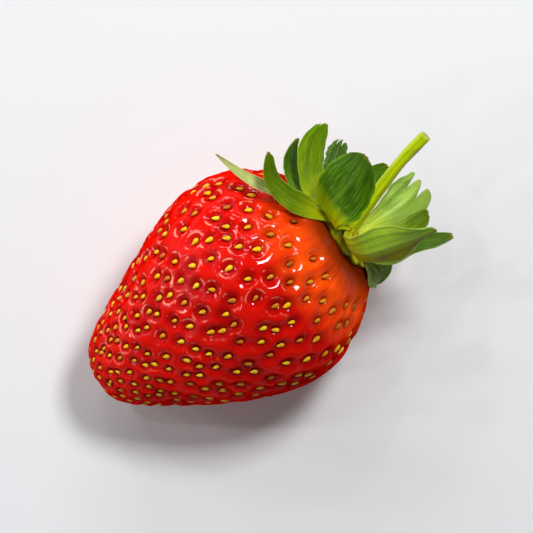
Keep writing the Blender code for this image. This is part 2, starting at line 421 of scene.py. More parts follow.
def sinkSeeds(skin, outward, seedShare, frames, spacing, random):
    # a wide soft dimple and a steep oval pit for each seed, taken off along the skin's normal
    here, ahead, aside, _ = frames
    rowShare = np.linspace(0.0, 1.0, berry["rows"])
    depth = np.zeros(skin.shape[:2])
    pit = np.zeros(skin.shape[:2])
    bowl = np.zeros(skin.shape[:2])
    deepness = random.uniform(*seeds["deepness"], len(seedShare))
    dimpleAhead, dimpleAside = seeds["dimpleReach"]
    pitAhead, pitAside = seeds["pitReach"]
    for k in range(len(seedShare)):
        wide = spacing[k] / seeds["bellySpacing"]
        reach = seeds["neighbourhood"] * spacing[k]
        ends = seedShare[k] - reach / skinLength, seedShare[k] + reach / skinLength
        rows = slice(*np.searchsorted(rowShare, ends))
        away = skin[rows] - here[k]
        forward, sideways = away @ ahead[k], away @ aside[k]
        near = np.linalg.norm(away, axis=-1) < reach
        across = np.hypot(forward / dimpleAhead, sideways / dimpleAside) / wide
        dimple = np.exp(-(across**3.6))
        oval = np.hypot(forward / pitAhead, sideways / pitAside)
        steep = 1 - smoothStep(oval / (0.4 + 0.6 * wide), 0.35, 1.0)
        depth[rows] += near * dimple * seeds["dimpleDepth"] * wide
        depth[rows] += near * steep * seeds["pitDepth"] * (0.5 + 0.5 * wide) * deepness[k]
        pit[rows] = np.maximum(pit[rows], near * steep)
        bowl[rows] = np.maximum(bowl[rows], near * dimple)
    sunk = skin - outward * (depth + berry["inset"])[..., None]
    return sunk, pit, bowl


def makeBerry(skinMaterial, seedMaterial):
    # the outline turned about the axis, waved and leant, sunk round each seed, and cut flat where
    # it rests
    random = np.random.default_rng(berry["seed"])
    share = np.linspace(0.0, 1.0, berry["rows"])[:, None]
    angles = np.linspace(0.0, 2 * np.pi, berry["columns"], endpoint=False)[None]
    skin, _, _, outward = skinFrames(share + 0 * angles, angles + 0 * share)
    outward[0], outward[-1] = outward[1].mean(axis=0), outward[-2].mean(axis=0)
    outward = unit(outward)
    seedShare, seedAngle, spacing = placeSeeds(random)
    frames = skinFrames(seedShare, seedAngle)
    sunk, pit, bowl = sinkSeeds(skin, outward, seedShare, frames, spacing, random)
    sunk[..., 2] = np.maximum(sunk[..., 2], 0.0)
    sunk[0], sunk[-1] = sunk[0].mean(axis=0), sunk[-1].mean(axis=0)
    points, faces = closedTube(sunk)
    along = 1.0 + skinLine[:, :1] / berry["length"] + 0 * angles
    crest = skinLine[:, 0].argmax() / (berry["rows"] - 1)  # where the shoulder turns in to the seat
    values = {
        "pit": tubeValues(pit),
        "bowl": tubeValues(bowl),
        "along": tubeValues(along),
        "roundY": tubeValues(np.cos(angles) + 0 * share),
        "roundZ": tubeValues(np.sin(angles) + 0 * share),
        "valley": tubeValues(smoothStep(share, crest - 0.06, crest + 0.05) + 0 * angles),
    }
    skinPiece = newPiece("berrySkin", points, faces, skinMaterial, values)
    seedAlong = 1.0 + np.interp(seedShare, share[:, 0], skinLine[:, 0]) / berry["length"]
    return skinPiece, makeSeeds(frames, spacing, seedAlong, seedMaterial, random)


def berrySkinFinish():
    material, tree, shader = newMaterial(
        "ripeBerrySkin",
        under=0.04,
        underRadius=(1.0, 0.25, 0.12),
        underScale=1.5 * mm,
        coatRoughness=0.05,
        specular=0.0,
    )
    place = objectPlace(tree)
    pit, bowl, along, roundY, roundZ, valley = (
        attributeNode(tree, name) for name in ("pit", "bowl", "along", "roundY", "roundZ", "valley")
    )
    # streaks run along the berry, because the noise changes slowly that way and fast round it
    section = {0: timesNode(tree, along, 0.9), 1: roundY, 2: roundZ}
    section = addNode(tree, "ShaderNodeCombineXYZ", section).outputs[0]
    streaks = noiseNode(tree, section, 9.0, 4.0, 0.6)
    patches = rangeNode(tree, noiseNode(tree, place, 130.0, 3.0, 0.55), 0.35, 0.65)
    red = mixColour(tree, patches, berry["ripeDark"], berry["ripeLight"])
    tip = rangeNode(tree, along, 0.16, 0.0, 0.0, 0.5)
    red = mixColour(tree, tip, red, berry["tip"])
    # painted light and shade: the ridges between the bowls are lighter, and each bowl darkens down
    # to its seed
    red = mixColour(tree, rangeNode(tree, bowl, 0.45, 0.0, 0.0, 0.35), red, berry["ridge"])
    # painted highlights: the arcs lie in a narrow band of the bowl, broken by noise; they fade out
    # towards the tip, round to the shaded side and down to the underside
    highlightArc = timesNode(tree, rangeNode(tree, bowl, 0.20, 0.31), rangeNode(tree, bowl, 0.53, 0.40))
    breaks = noiseNode(tree, place, 520.0, 3.0, 0.6)
    highlightArc = timesNode(tree, highlightArc, rangeNode(tree, breaks, 0.52, 0.59))
    lit = plusNode(tree, timesNode(tree, roundY, 0.75), timesNode(tree, roundZ, 0.45))
    highlightArc = timesNode(tree, highlightArc, rangeNode(tree, lit, -0.05, 0.65, 0.0, 0.80))
    highlightArc = timesNode(tree, highlightArc, rangeNode(tree, along, 0.02, 0.40, 0.15, 1.0))
    highlightArc = timesNode(tree, highlightArc, rangeNode(tree, roundZ, -0.10, 0.40, 0.25, 1.0))
    red = mixColour(tree, highlightArc, red, berry["rimHighlight"])
    # painted shade: each bowl darkens down to its seed
    red = mixColour(tree, rangeNode(tree, bowl, 0.4, 1.0, 0.0, 0.45), red, berry["bowl"])
    # the shoulder under the leaves is less ripe on the upper side: orange, streaked from the seat
    facing = plusNode(tree, timesNode(tree, roundY, -0.45), timesNode(tree, roundZ, 0.85))
    unripe = rangeNode(tree, facing, 0.10, 0.80)
    unripe = timesNode(tree, unripe, rangeNode(tree, along, 0.82, 0.93))
    unripe = timesNode(tree, unripe, rangeNode(tree, streaks, 0.22, 0.54))
    red = mixColour(tree, unripe, red, berry["shoulder"])
    # painted shade round the stalk's end and in the hollow past the shoulder's crest, under the
    # calyx
    seat = plusNode(tree, rangeNode(tree, along, 0.955, 1.005, 0.0, 0.8), valley, clamp=True)
    red = mixColour(tree, timesNode(tree, seat, 0.9), red, berry["seat"])
    # painted shade down in the steep pits round the seeds
    red = mixColour(tree, timesNode(tree, pit, 0.66), red, berry["pit"])
    feed(tree, shader.inputs["Base Color"], red)
    # a wet gloss, weaker where the skin is seen at a slant
    slant = addNode(tree, "ShaderNodeLayerWeight", {"Blend": 0.5}).outputs["Facing"]
    feed(tree, shader.inputs["Coat Weight"], rangeNode(tree, slant, 0.14, 0.58, 0.50, 0.0))
    fine = noiseNode(tree, place, 2600.0, 3.0, 0.6)
    soft = noiseNode(tree, place, 700.0, 2.0, 0.5)
    feed(tree, shader.inputs["Roughness"], rangeNode(tree, fine, 0.3, 0.7, 0.20, 0.34))
    height = plusNode(tree, timesNode(tree, fine, 0.25), soft)
    feed(tree, shader.inputs["Normal"], bumpNode(tree, height, 0.15 * mm, 0.6))
    return material


def makeSeeds(frames, spacing, seedAlong, material, random):
    # a drop with its long way along the skin: each ring's width is that of an ellipse, times a
    # factor that grows towards the calyx, so that the drop is pointed towards the berry's tip
    here, ahead, aside, outward = frames
    count = len(here)
    turn = random.normal(seeds["lean"], seeds["turn"], count)[:, None]
    cosine, sine = np.cos(turn), np.sin(turn)
    ahead, aside = ahead * cosine + aside * sine, aside * cosine - ahead * sine
    wide = spacing / seeds["bellySpacing"]
    size = (0.62 + 0.38 * wide) * random.uniform(*seeds["sizes"], count)
    # the tone goes on past brown to dark near the calyx
    tone = np.clip(random.normal(*seeds["tone"], count), 0.0, 1.0)
    tone = tone + 0.7 * smoothStep(seedAlong, 0.80, 0.92)
    sunk = seeds["sunk"] - seeds["dimpleDepth"] * (1 - wide)
    middle = here - outward * sunk[:, None]
    ring = np.array(seeds["rings"])
    girth = np.sqrt(1 - ring**2) * (1 + 0.28 * ring)
    turns = np.linspace(0.0, 2 * np.pi, seeds["steps"], endpoint=False)
    flank, face = (np.outer(girth, wave(turns)).ravel() for wave in (np.cos, np.sin))
    long = np.append(np.repeat(ring, len(turns)), seeds["poles"]) * seeds["length"] / 2
    wideness = np.append(flank, (0, 0)) * seeds["width"] / 2
    height = np.append(face, (0, 0)) * seeds["thickness"] / 2
    points = middle[:, None] + size[:, None, None] * (
        ahead[:, None] * long[None, :, None]
        + aside[:, None] * wideness[None, :, None]
        + outward[:, None] * height[None, :, None]
    )
    points[..., 2] = np.maximum(points[..., 2], 0.0)
    each = np.arange(count)[:, None, None] * points.shape[1]
    oneSeed = tubeFaces(len(ring), len(turns))
    faces = [(part[None] + each).reshape(-1, part.shape[1]) for part in oneSeed]
    values = {"tone": np.repeat(tone, points.shape[1])}
    return newPiece("seeds", points.reshape(-1, 3), faces, material, values)


def seedFinish():
    material, tree, shader = newMaterial(
        "goldenSeed", roughness=0.34, specular=0.1, coat=0.1, coatRoughness=0.12
    )
    place = objectPlace(tree)
    tone = attributeNode(tree, "tone")
    speckle = noiseNode(tree, place, 1500.0, 2.0)
    warm = rangeNode(tree, tone, 0.5, 0.95)
    gold = mixColour(tree, warm, seeds["gold"], seeds["orange"])
    gold = mixColour(tree, rangeNode(tree, tone, 0.4, 0.0), gold, seeds["pale"])
    gold = mixColour(tree, rangeNode(tree, tone, 0.9, 1.5, 0.0, 0.85), gold, seeds["brown"])
    gold = mixColour(tree, rangeNode(tree, speckle, 0.45, 0.8), gold, seeds["speckle"])
    feed(tree, shader.inputs["Base Color"], gold)
    feed(tree, shader.inputs["Normal"], bumpNode(tree, speckle, 0.06 * mm, 0.6))
    return material


# The calyx: a button, two whorls of leaves round it, and the stalk.

calyx = {
    "baseRadius": 3.2 * mm,
    "baseTop": 2.4 * mm,
    "baseRows": 60,
    "baseColumns": 144,
    "ribHeight": 0.05,  # as a share of the radius
    "leafStart": 3.5 * mm,  # of a leaf's root from the axis
    "rootInside": 1.6 * mm,  # how far each root runs on into the button
    "rootWidth": 2.2 * mm,
    "sepalHeight": 2.3 * mm,  # of the upper whorl's roots over the seat
    "bractHeight": 1.4 * mm,
    "leafThickness": 0.34 * mm,
    "skinGap": 0.05 * mm,  # the least between a leaf and the berry's smooth outline
    "rows": 72,
    "columns": 56,  # round a leaf's section, top and bottom together
    "railPoints": 241,  # along a leaf's midrib
    "grooveDepth": 0.16 * mm,  # along the midrib
    "grooveWidth": 0.32 * mm,
    "veinHeight": 0.08 * mm,
    "pleatHeight": 0.30 * mm,
    "floorGap": 0.05 * mm,  # the least between a leaf and the floor
    "olive": (0.19, 0.160, 0.002),
    "brownTip": (0.30, 0.16, 0.02),
    "buttonValley": (0.30, 0.24, 0.002),
    "buttonRib": (0.56, 0.52, 0.003),
    "buttonMottle": (0.13, 0.10, 0.004),
}

# The leaves. azimuth is the way a leaf faces round the axis at its root, from +Y to +Z, and swing
# is its change from there to the tip; leans are its angles to the stalk's way at the root, the
# middle and the tip; all in degrees. A leaf widens to its widest place, later where slender is
# high, and may have teeth at its tip and saws along its sides. The colours are those of its upper
# and lower faces, its root and its rim. dulled is the share of painted shade on one half, as if
# that half were turned from the light: above 0 to olive, and below 0 to a deeper green on the
# other half. What a leaf leaves out is plainLeaf's.
plainLeaf = dict(tipWidth=0.5, teeth=1, toothDepth=0.0, saws=0.0, ruffle=0.15 * mm, shadedHalf=0.0)
leaves = {
    "sepal_1": dict(
        azimuth=67, swing=-39, length=16.3 * mm, width=8.4 * mm,
        leans=(102, 18, 36), cupping=0.05, roll=38, widest=0.54, slender=1.6,
        toothDepth=0.11, ruffle=0.25 * mm,
        upper=(0.026, 0.088, 0.0), lower=(0.04, 0.11, 0.0),
        root=(0.8, 0.92, 0.0), rim=(0.14, 0.3, 0.01),
    ),
    "sepal_2": dict(
        azimuth=55, swing=-36, length=18.0 * mm, width=3.4 * mm,
        leans=(110, 108, 53), cupping=0.2, roll=-50, widest=0.38, slender=1.9,
        tipWidth=0.32, toothDepth=0.05, saws=0.02, ruffle=0.2 * mm,
        upper=(0.11, 0.23, 0.002), lower=(0.13, 0.2, 0.0),
        root=(0.42, 0.44, 0.0), rim=(0.3, 0.36, 0.02),
    ),
    "sepal_3": dict(
        azimuth=18, swing=-8, length=14.8 * mm, width=6.2 * mm,
        leans=(112, 58, 30), cupping=0.06, roll=-40, widest=0.3, slender=2.0,
        teeth=2, toothDepth=0.08, ruffle=0.25 * mm,
        upper=(0.17, 0.34, 0.001), lower=(0.19, 0.32, 0.01),
        root=(0.66, 0.68, 0.0), rim=(0.4, 0.48, 0.03),
    ),
    "sepal_4": dict(
        azimuth=-27, swing=-5, length=11.2 * mm, width=4.1 * mm,
        leans=(105, 59, 43), cupping=0.35, roll=-32, widest=0.52, slender=1.6,
        tipWidth=0.45, teeth=3, toothDepth=0.1, saws=0.05, ruffle=0.2 * mm,
        upper=(0.07, 0.15, 0.012), lower=(0.08, 0.14, 0.02),
        root=(0.2, 0.28, 0.01), rim=(0.12, 0.2, 0.03),
    ),
    "sepal_5": dict(
        azimuth=-100, swing=37, length=13.8 * mm, width=6.2 * mm,
        leans=(62, 26, 68), cupping=0.4, roll=-6, widest=0.66, slender=4.2,
        tipWidth=0.84, teeth=3, toothDepth=0.2, ruffle=0.25 * mm, shadedHalf=-0.95,
        upper=(0.4, 0.62, 0.075), lower=(0.36, 0.54, 0.08),
        root=(0.56, 0.66, 0.04), rim=(0.52, 0.72, 0.18),
    ),
    "sepal_6": dict(
        azimuth=-137, swing=17, length=11.5 * mm, width=3.8 * mm,
        leans=(49, -1, -22), cupping=0.14, roll=4, widest=0.46, slender=1.9,
        tipWidth=0.4, teeth=2, toothDepth=0.08,
        upper=(0.17, 0.28, 0.006), lower=(0.18, 0.28, 0.01),
        root=(0.36, 0.42, 0.02), rim=(0.36, 0.48, 0.08),
    ),
    "sepal_7": dict(
        azimuth=108, swing=52, length=18.4 * mm, width=7.6 * mm,
        leans=(92, 15, 12), cupping=0.1, roll=-4, widest=0.5, slender=1.8,
        tipWidth=0.4, toothDepth=0.04, ruffle=0.52 * mm, shadedHalf=0.95,
        upper=(0.4, 0.68, 0.03), lower=(0.4, 0.66, 0.03),
        root=(0.6, 0.62, 0.0), rim=(0.46, 0.62, 0.08),
    ),
    "bract_1": dict(
        azimuth=44, swing=-25, length=20.6 * mm, width=1.9 * mm,
        leans=(102, 120, 103), cupping=0.11, roll=-47, widest=0.45, slender=1.6,
        tipWidth=0.08, ruffle=0.05 * mm,
        upper=(0.64, 0.72, 0.2), lower=(0.46, 0.52, 0.12),
        root=(0.56, 0.6, 0.08), rim=(0.78, 0.84, 0.4),
    ),
    "bract_2": dict(
        azimuth=10, swing=13, length=13.3 * mm, width=6.8 * mm,
        leans=(96, 103, 27), cupping=0.06, roll=-23, widest=0.47, slender=1.9,
        tipWidth=0.25, saws=0.03,
        upper=(0.07, 0.19, 0.001), lower=(0.1, 0.2, 0.0),
        root=(0.36, 0.42, 0.01), rim=(0.22, 0.34, 0.03),
    ),
    "bract_3": dict(
        azimuth=-65, swing=8, length=12.9 * mm, width=4.0 * mm,
        leans=(91, 47, -6), cupping=0.22, roll=6, widest=0.37, slender=1.7,
        tipWidth=0.48, toothDepth=0.03,
        upper=(0.13, 0.27, 0.006), lower=(0.15, 0.28, 0.01),
        root=(0.28, 0.34, 0.01), rim=(0.22, 0.34, 0.03),
    ),
    "bract_4": dict(
        azimuth=195, swing=42, length=7.3 * mm, width=6.0 * mm,
        leans=(82, 86, 140), cupping=0.3, roll=48, widest=0.35, slender=1.8,
        tipWidth=0.16,
        upper=(0.18, 0.28, 0.03), lower=(0.22, 0.32, 0.05),
        root=(0.3, 0.34, 0.03), rim=(0.36, 0.44, 0.1),
    ),
    "bract_5": dict(
        azimuth=178, swing=50, length=14.7 * mm, width=3.8 * mm,
        leans=(58, -2, 26), cupping=0.1, roll=0, widest=0.45, slender=0.7,
        tipWidth=0.3,
        upper=(0.04, 0.11, 0.001), lower=(0.07, 0.14, 0.0),
        root=(0.24, 0.3, 0.01), rim=(0.18, 0.28, 0.03),
    ),
}


def leafHalfWidth(leaf, along):
    # a drop: a quarter of a sine up to the widest place, raised to a power that makes the leaf
    # slender or full below it, then a round fall to the tip's width
    width, widest = leaf["width"], leaf["widest"]
    root, tip = calyx["rootWidth"] / 2, leaf["tipWidth"] * width / 2
    rise = np.sin(np.pi / 2 * np.clip(along / widest, 0, 1)) ** leaf["slender"]
    growing = root + (width / 2 - root) * rise
    ending = np.clip((along - widest) / (1 - widest), 0, 1)
    closing = tip + (width / 2 - tip) * (1 - ending**2.2) ** 0.9
    return np.where(along < widest, growing, closing)


def leafRails(leaf, height):
    # the midrib is the sum of short steps whose heading leans and swings; with it come the way
    # across the leaf and the way its upper face looks, both rolled about the midrib; place 0 is
    # where the leaf leaves the button, and the root runs on inside it
    rootLean, midLean, tipLean = leaf["leans"]
    inside = calyx["rootInside"] / leaf["length"]
    place = np.linspace(-inside, 1.0, calyx["railPoints"])
    beyond = np.clip(place, 0.0, 1.0)
    lean = rootLean + (midLean - rootLean) * smoothStep(beyond, 0.0, 0.55)
    lean = np.radians(lean + (tipLean - midLean) * smoothStep(beyond, 0.45, 1.0))
    facing = np.radians(leaf["azimuth"] + leaf["swing"] * beyond)
    across = np.sin(lean)
    ahead = np.stack([np.cos(lean), across * np.cos(facing), across * np.sin(facing)], axis=-1)
    aside = np.stack([0 * lean, -np.sin(facing), np.cos(facing)], axis=-1)
    above = np.cross(ahead, aside)
    rolled = (np.radians(leaf["roll"]) * smoothStep(place, 0.05, 0.6))[:, None]
    cosine, sine = np.cos(rolled), np.sin(rolled)
    aside, above = aside * cosine + above * sine, above * cosine - aside * sine
    steps = (ahead[1:] + ahead[:-1]) / 2 * leaf["length"] * (place[1] - place[0])
    midrib = np.vstack([np.zeros(3), np.cumsum(steps, axis=0)])
    start, foot = math.radians(leaf["azimuth"]), calyx["leafStart"]
    root = np.array([height, foot * math.cos(start), foot * math.sin(start)])
    midrib += root - readLine(np.zeros(1), place, midrib)
    return place, midrib, aside, above


def offSkin(rings):
    # in the plane of the axis and the radius, a point nearer than the gap to the outline's nearest
    # point moves along that point's outward normal, and a leaf's two faces move by the same push
    x, y, z = np.moveaxis(rings, -1, 0)
    _, lean = growth(x, 0.0)
    angle = np.arctan2(z, y - lean)
    swell, lean = growth(x, angle)
    place = np.stack([x, np.hypot(y - lean, z) / swell], axis=-1)
    slope = unit(np.gradient(skinLine, axis=0))
    outward = np.column_stack([-slope[:, 1], slope[:, 0]])
    away = place[..., None, :] - skinLine
    nearest = (away**2).sum(axis=-1).argmin(axis=-1)
    height = ((place - skinLine[nearest]) * outward[nearest]).sum(axis=-1)
    push = np.maximum(calyx["skinGap"] - height, 0.0)
    push = np.maximum(push, push[:, -np.arange(push.shape[1])])
    x, radius = np.moveaxis(place + push[..., None] * outward[nearest], -1, 0)
    radius = radius * swell
    return np.stack([x, radius * np.cos(angle) + lean, radius * np.sin(angle)], axis=-1)


def makeLeaf(name, leaf, height, material):
    # a flat oval section carried along the midrib: its width is the drop's, cut by teeth and saws,
    # and its height is the cupping and the ruffle, less the groove, plus the veins and the pleats
    teeth, phase = leaf["teeth"], leaf["azimuth"]
    place, midrib, aside, above = leafRails(leaf, height)
    # round the section: across goes from one margin over the top to the other and back underneath
    turn = np.linspace(0.0, 2 * np.pi, calyx["columns"], endpoint=False)[None]
    across = -np.cos(turn)
    side = np.sign(np.sin(turn)) * np.abs(np.sin(turn)) ** 0.45
    upTo = np.linspace(0.0, 1.0, calyx["rows"])[:, None]
    # teeth at the tip: the leaf is shorter at the narrow notches between them, and at its sides
    wave = np.abs(2 * np.mod(teeth * (across + 1) / 2, 1.0) - 1) ** 3.5
    cut = wave + 0.5 * across**2 if teeth > 1 else across**2
    reach = 1 - leaf["toothDepth"] * cut
    along = place[0] + (reach - place[0]) * upTo
    half = leafHalfWidth(leaf, np.clip(along, 0, 1))
    saw = np.mod(along * 11, 1.0) * smoothStep(along, 0.5, 0.7)
    uneven = 0.035 * np.sin(along * 17 + phase + 2 * across)
    uneven = uneven + 0.02 * np.sin(along * 41 + 3 * phase)
    half = half * (1 - leaf["saws"] * 3 * saw) * (1 + uneven * smoothStep(along, 0.1, 0.4))
    here, sideways, upwards = (readLine(along, place, line) for line in (midrib, aside, above))
    spread = across * half
    grownIn = smoothStep(along, 0.0, 0.35)
    curl = leaf["cupping"] * half * across**2 * grownIn
    ruffle = leaf["ruffle"] * across**2 * np.sin(along * 13 + 2 * across + phase)
    curl = curl + ruffle * grownIn
    groove = calyx["grooveDepth"] * np.exp(-((spread / calyx["grooveWidth"]) ** 2))
    groove = groove * (1 - 0.7 * smoothStep(along, 0.3, 1.0))
    veins = calyx["veinHeight"] * np.cos(across * np.pi * 5.5 + 3 * along)
    veins = veins * smoothStep(along, 0.05, 0.3)
    if teeth > 1:  # the blade is pleated, with a crest to each tooth
        pleats = calyx["pleatHeight"] * np.cos(teeth * np.pi * (across + 1))
        veins = veins - pleats * smoothStep(along, 0.25, 0.8)
    # the root is thick, and the tip thins out
    thick = calyx["leafThickness"] * (0.55 + 0.9 * (1 - smoothStep(along, -0.1, 0.45)))
    thick = thick * (1 - 0.65 * smoothStep(along, 0.8, 1.0))
    lift = curl - groove + veins + side * thick / 2
    rings = offSkin(here + sideways * spread[..., None] + upwards * lift[..., None])
    rows, columns = rings.shape[:2]
    # each end is closed with quads from the upper face to the lower, and a triangle at each margin
    turnPoint = columns // 2
    k = np.arange(1, turnPoint - 1)
    strip = np.column_stack([k, k + 1, columns - k - 1, columns - k])
    tips = np.array([[0, 1, columns - 1], [turnPoint - 1, turnPoint, turnPoint + 1]])
    far = (rows - 1) * columns
    faces = [ringFaces(rows, columns), strip, tips, strip[:, ::-1] + far, tips[:, ::-1] + far]
    values = {
        "along": np.clip(along, 0, 1),
        "across": across + 0 * upTo,
        "under": (side < 0) + 0.0 * upTo,
    }
    values = {key: np.broadcast_to(value, rings.shape[:2]).copy() for key, value in values.items()}
    points = atRest(rings).reshape(-1, 3)
    points[:, 2] = np.maximum(points[:, 2], calyx["floorGap"])
    return newPiece("leaf_" + name, points, faces, material, values)


def darker(colour, share):
    return [share * channel for channel in colour]


def leafFinish(name, leaf):
    upper, rim, shadedHalf = leaf["upper"], leaf["rim"], leaf["shadedHalf"]
    material, tree, shader = newMaterial(
        "green_" + name,
        under=0.18,
        underRadius=(0.5, 1.0, 0.15),
        underScale=0.8 * mm,
        coat=0.08,
        coatRoughness=0.20,
        specular=0.05,
    )
    place = objectPlace(tree)
    along, across, under = (attributeNode(tree, key) for key in ("along", "across", "under"))
    margin = mathNode(tree, "ABSOLUTE", across)
    # threads run along the leaf, because the noise changes slowly that way and fast across it
    flow = {0: timesNode(tree, along, 1.4), 1: timesNode(tree, across, 8.0), 2: under}
    threads = noiseNode(tree, addNode(tree, "ShaderNodeCombineXYZ", flow).outputs[0], 3.0, 3.0, 0.6)
    mottle = noiseNode(tree, place, 420.0, 3.0, 0.6)
    # light and dark threads, dark spots and a darker far end; then the half with painted shade, the
    # root, the midrib, the rim and a little brown at the tip
    body = mixColour(tree, under, upper, leaf["lower"])
    body = mixColour(tree, rangeNode(tree, threads, 0.46, 0.62, 0.0, 0.7), body, rim)
    body = mixColour(tree, rangeNode(tree, threads, 0.46, 0.32, 0.0, 0.5), body, darker(upper, 0.4))
    spots = rangeNode(tree, mottle, 0.45, 0.75, 0.0, 0.45)
    body = mixColour(tree, spots, body, darker(upper, 0.45))
    body = mixColour(tree, rangeNode(tree, along, 0.62, 0.97, 0.0, 0.45), body, darker(upper, 0.5))
    # painted shade on one half of the leaf: olive, or a deeper green on the other half
    halfShade = calyx["olive"] if shadedHalf > 0 else darker(upper, 0.5)
    side = timesNode(tree, across, 1.0 if shadedHalf > 0 else -1.0)
    body = mixColour(tree, rangeNode(tree, side, 0.0, 0.45, 0.0, abs(shadedHalf)), body, halfShade)
    body = mixColour(tree, rangeNode(tree, along, 0.46, 0.10), body, leaf["root"])
    midrib = rangeNode(tree, margin, 0.11, 0.01)
    midrib = timesNode(tree, midrib, rangeNode(tree, along, 0.95, 0.25, 0.05, 0.55))
    body = mixColour(tree, midrib, body, rim)
    body = mixColour(tree, rangeNode(tree, margin, 0.90, 0.99, 0.0, 0.8), body, rim)
    brown = rangeNode(tree, along, 0.955, 0.995, 0.0, 0.55)
    body = mixColour(tree, brown, body, calyx["brownTip"])
    feed(tree, shader.inputs["Base Color"], body)
    feed(tree, shader.inputs["Roughness"], rangeNode(tree, mottle, 0.3, 0.7, 0.36, 0.52))
    height = plusNode(tree, timesNode(tree, mottle, 0.6), threads)
    feed(tree, shader.inputs["Normal"], bumpNode(tree, height, 0.20 * mm, 0.6))
    return material


def makeCalyxBase(material):
    # an outline turned about the axis, with the radius waved into as many ribs as there are leaves
    radius, top = calyx["baseRadius"], calyx["baseTop"]
    outline = (
        (-0.5 * mm, 0.0),
        (-0.4 * mm, 0.9 * radius),
        (0.30 * mm, 1.34 * radius),
        (0.95 * mm, 1.66 * radius),
        (1.40 * mm, 1.68 * radius),
        (1.75 * mm, 1.40 * radius),
        (0.86 * top, 0.90 * radius),
        (1.12 * top, 0.50 * radius),
        (1.30 * top, 0.30 * radius),
        (1.32 * top, 0.0),
    )
    line = smoothLine(outline, calyx["baseRows"])
    line[:, 1] = np.maximum(line[:, 1], 0.0)
    angles = np.linspace(0.0, 2 * np.pi, calyx["baseColumns"], endpoint=False)[None]
    share = np.linspace(0.0, 1.0, len(line))[:, None]
    wave = np.cos(len(leaves) * angles + 2.5 * share)
    rings = turned(line[:, None] * np.ones((1, angles.shape[1], 1)), angles)
    rings[..., 1:] *= (1 + calyx["ribHeight"] * np.sin(np.pi * share) * wave)[..., None]
    points, faces = closedTube(atRest(rings))
    return newPiece("calyxButton", points, faces, material, {"rib": tubeValues(wave)})


def buttonFinish():
    material, tree, shader = newMaterial("calyxButtonGreen", specular=0.1)
    rib = rangeNode(tree, attributeNode(tree, "rib"), -0.6, 0.8)
    mottle = noiseNode(tree, objectPlace(tree), 900.0, 3.0)
    colour = mixColour(tree, rib, calyx["buttonValley"], calyx["buttonRib"])
    spots = rangeNode(tree, mottle, 0.5, 0.8, 0.0, 0.6)
    colour = mixColour(tree, spots, colour, calyx["buttonMottle"])
    feed(tree, shader.inputs["Base Color"], colour)
    feed(tree, shader.inputs["Roughness"], rangeNode(tree, mottle, 0.3, 0.7, 0.42, 0.6))
    feed(tree, shader.inputs["Normal"], bumpNode(tree, mottle, 0.15 * mm, 0.5))
    return material


stalk = {
    "length": 17.3 * mm,  # the route's points are in shares of it, from the foot
    "radius": 0.84 * mm,
    "footRadius": 1.35 * mm,
    "footRise": 0.6 * mm,  # of the route's start over the button's top
    "footShift": 1.2 * mm,  # of the foot back into the button
    "route": ((0.0, 0.0, 0.0), (0.31, 0.14, 0.02), (0.63, 0.26, 0.05), (0.935, 0.34, 0.09)),
    "ridges": 0.045,  # as a share of the radius
    "rows": 150,
    "columns": 48,
    "groove": (0.40, 0.52, 0.002),
    "ridge": (0.52, 0.62, 0.004),
    "mottle": (0.22, 0.28, 0.01),
    "cut": (0.42, 0.40, 0.10),
}


def makeStalk(material):
    # a round section carried along a bent line: its radius falls from the foot's by a sixth power,
    # swells a little at the cut, and is waved into five ridges with finer ones over them
    start = np.array([calyx["baseTop"] + stalk["footRise"], 0.0, 0.0])
    route = smoothLine(start + np.array(stalk["route"]) * stalk["length"], stalk["rows"])
    share = np.linspace(0.0, 1.0, len(route))[:, None]
    route[:, :1] -= stalk["footShift"] * (1 - smoothStep(share, 0.0, 0.3))
    ahead = unit(np.gradient(route, axis=0))
    aside = unit(np.cross(ahead, (0.0, 0.0, 1.0)))
    above = np.cross(aside, ahead)
    angles = np.linspace(0.0, 2 * np.pi, stalk["columns"], endpoint=False)[None]
    girth = stalk["radius"] + (stalk["footRadius"] - stalk["radius"]) * (1 - share) ** 6
    girth = girth * (1 + 0.03 * np.sin(share * 17.0) + 0.05 * smoothStep(share, 0.9, 1.0))
    ridges = stalk["ridges"] * np.cos(5 * angles + 3 * share)
    girth = girth * (1 + ridges + 0.02 * np.cos(11 * angles - 2 * share))
    girth = girth * (1 - 0.10 * smoothStep(share, 0.985, 1.0))
    rings = (
        route[:, None]
        + aside[:, None] * (girth * np.cos(angles))[..., None]
        + above[:, None] * (girth * np.sin(angles))[..., None]
    )
    # the cut face: the last ring drawn in to a point, a little hollow
    cutFace = [
        route[-1] + (rings[-1] - route[-1]) * scale - ahead[-1] * hollow
        for scale, hollow in ((0.82, -0.03 * mm), (0.40, 0.08 * mm), (0.0, 0.10 * mm))
    ]
    foot = route[0] + 0 * rings[:1]
    points, faces = closedTube(atRest(np.concatenate([foot, rings, cutFace])))
    places = np.concatenate([[0.0], share[:, 0], [1.02, 1.05, 1.06]])[:, None] + 0 * angles
    values = {"along": tubeValues(places), "around": tubeValues(np.cos(5 * angles) + 0 * places)}
    return newPiece("stalkStem", points, faces, material, values)


